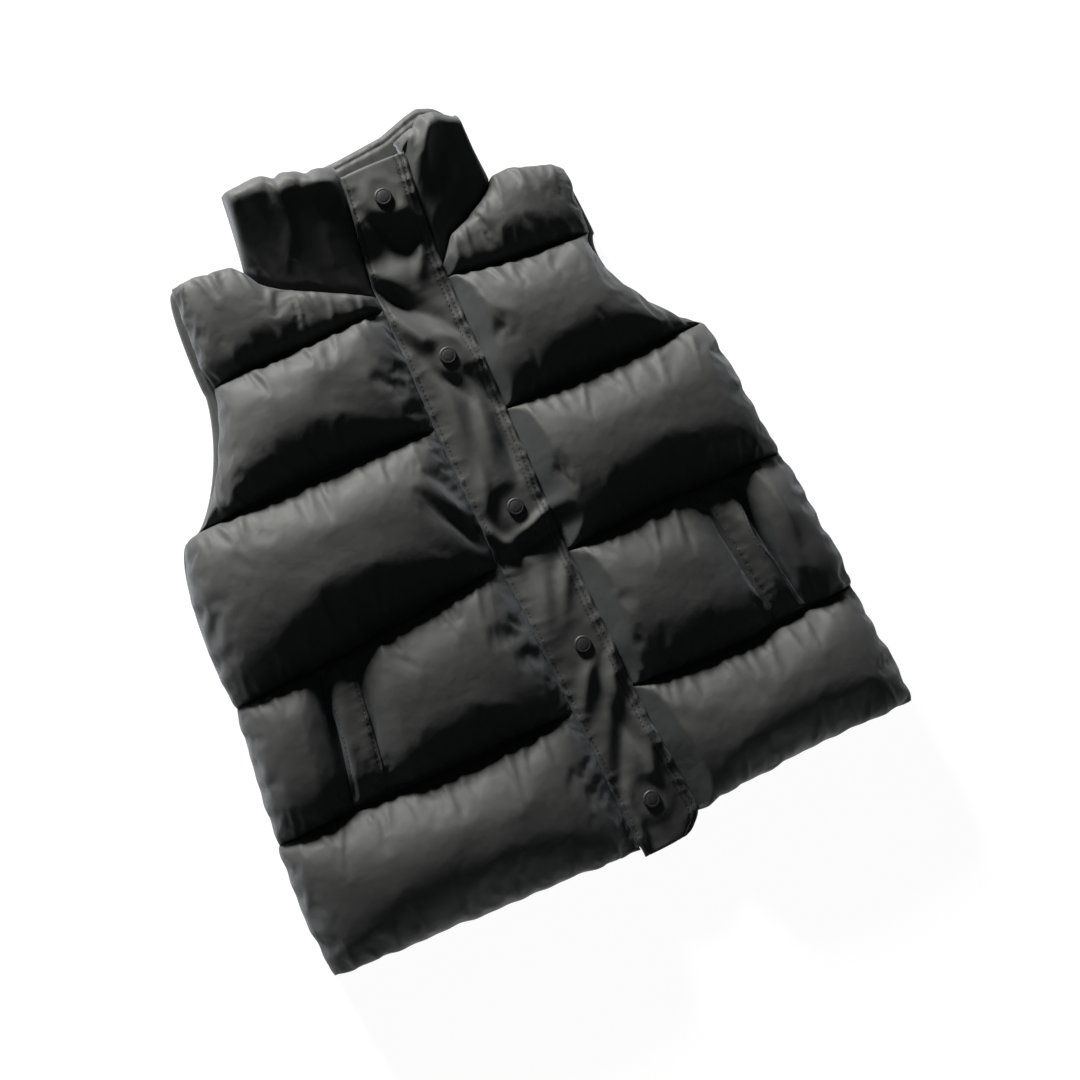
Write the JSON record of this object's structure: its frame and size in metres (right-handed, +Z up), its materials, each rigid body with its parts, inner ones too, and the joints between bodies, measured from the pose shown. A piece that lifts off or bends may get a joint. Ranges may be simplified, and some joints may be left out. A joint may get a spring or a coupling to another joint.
{
  "type": "puffer vest",
  "caption": "Quilted puffer vest with a stand collar, snap placket and slanted welt pockets, laid flat on its back with the front closed.",
  "frame": {"origin": "on the floor under the middle of the outline of the flat-laid vest", "axes": "+Y along the vest towards its collar, +X across it towards the wearer's left front, +Z up off the floor"},
  "size_m": [0.5822, 0.697, 0.0654],
  "materials": {
    "shell": "black satin-faced woven nylon over soft wadding, slightly shiny",
    "snap": "matt black enamelled snap cap"
  },
  "bodies": {
    "root": {"back_panel": "shell", "front_right": "shell", "front_left": "shell", "pocket_welt_right": "shell", "pocket_welt_left": "shell", "collar": "shell", "under_placket": "shell", "placket": "shell", "snap_1": "snap", "snap_2": "snap", "snap_3": "snap", "snap_4": "snap", "snap_5": "snap"}
  },
  "joints": []
}
